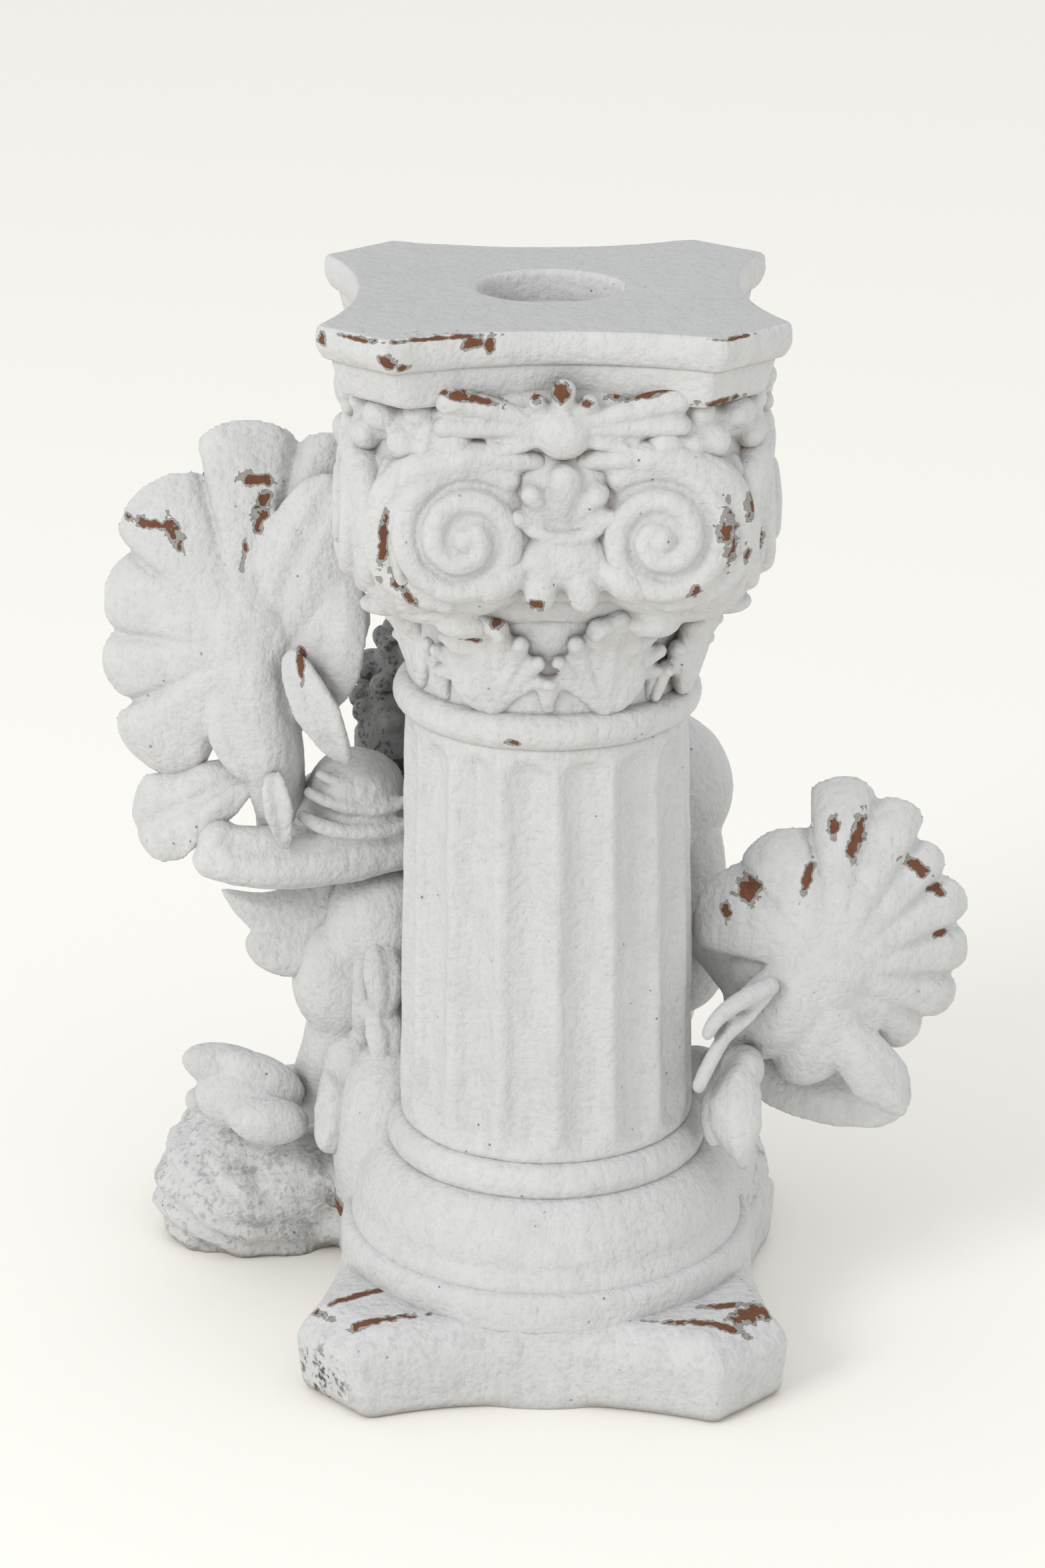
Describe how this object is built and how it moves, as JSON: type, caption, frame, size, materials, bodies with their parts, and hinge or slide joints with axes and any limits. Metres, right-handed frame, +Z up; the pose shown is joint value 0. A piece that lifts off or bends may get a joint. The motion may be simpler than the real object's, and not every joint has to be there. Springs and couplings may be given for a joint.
{
  "type": "column candlestick",
  "caption": "Short fluted column candlestick with scrolled capital, hollow-sided plinth, carved flowers and a leaning figure; a bore in the top plate holds a taper candle.",
  "frame": {"origin": "centre of the plinth's underside, on the column's axis", "axes": "+Z up the column; -Y is the side that shows the column whole, +Y the side with the mound and figure"},
  "size_m": [0.1508, 0.1251, 0.19],
  "materials": {
    "painted_column": "chalky white paint over carved wood, rubbed and chipped on the edges",
    "painted_capital": "chalky white paint over carved wood, chipped to a red-brown core on the high points",
    "painted_flowers": "chalky white paint over carved wood with grey in the hollows",
    "painted_figure": "chalky white paint over smooth carved wood",
    "painted_mound": "chalky white paint over rough-cut wood, dirty in the pits",
    "bare_wood": "plain turned dowel"
  },
  "bodies": {
    "root": {"abacus_lower": "painted_capital", "abacus_upper": "painted_capital", "acanthus_back": "painted_capital", "acanthus_front": "painted_capital", "acanthus_left": "painted_capital", "acanthus_right": "painted_capital", "astragal": "painted_column", "base_dowel": "bare_wood", "base_flare": "painted_column", "base_torus": "painted_column", "bell_collar": "painted_capital", "bolster_back_left": "painted_capital", "bolster_back_right": "painted_capital", "bolster_front_left": "painted_capital", "bolster_front_right": "painted_capital", "bud_cluster_back_left": "painted_capital", "bud_cluster_back_right": "painted_capital", "bud_cluster_front_left": "painted_capital", "bud_cluster_front_right": "painted_capital", "capital_bell": "painted_capital", "capital_dowel": "bare_wood", "drapery": "painted_figure", "figure_arm_left": "painted_figure", "figure_arm_right": "painted_figure", "figure_foot_left": "painted_figure", "figure_hair": "painted_figure", "figure_head": "painted_figure", "figure_leg_left": "painted_figure", "figure_leg_right": "painted_figure", "figure_torso": "painted_figure", "fleuron_back": "painted_capital", "fleuron_front": "painted_capital", "fleuron_left": "painted_capital", "fleuron_right": "painted_capital", "fluted_shaft": "painted_column", "left_flower_calyx": "painted_flowers", "left_flower_petals": "painted_flowers", "left_leaf_lower": "painted_flowers", "left_leaf_upper": "painted_flowers", "left_stem": "painted_flowers", "mound_bud": "painted_flowers", "mound_leaves": "painted_flowers", "palmette_back": "painted_capital", "palmette_front": "painted_capital", "palmette_left": "painted_capital", "palmette_right": "painted_capital", "plinth": "painted_column", "right_bud": "painted_flowers", "right_flower_calyx": "painted_flowers", "right_flower_petals": "painted_flowers", "right_leaf_back": "painted_flowers", "right_sepals": "painted_flowers", "right_stem": "painted_flowers", "rock_mound": "painted_mound", "shaft_fillet": "painted_column", "volute_block": "painted_capital", "volute_scrolls_back": "painted_capital", "volute_scrolls_front": "painted_capital", "volute_scrolls_left": "painted_capital", "volute_scrolls_right": "painted_capital"}
  },
  "joints": []
}
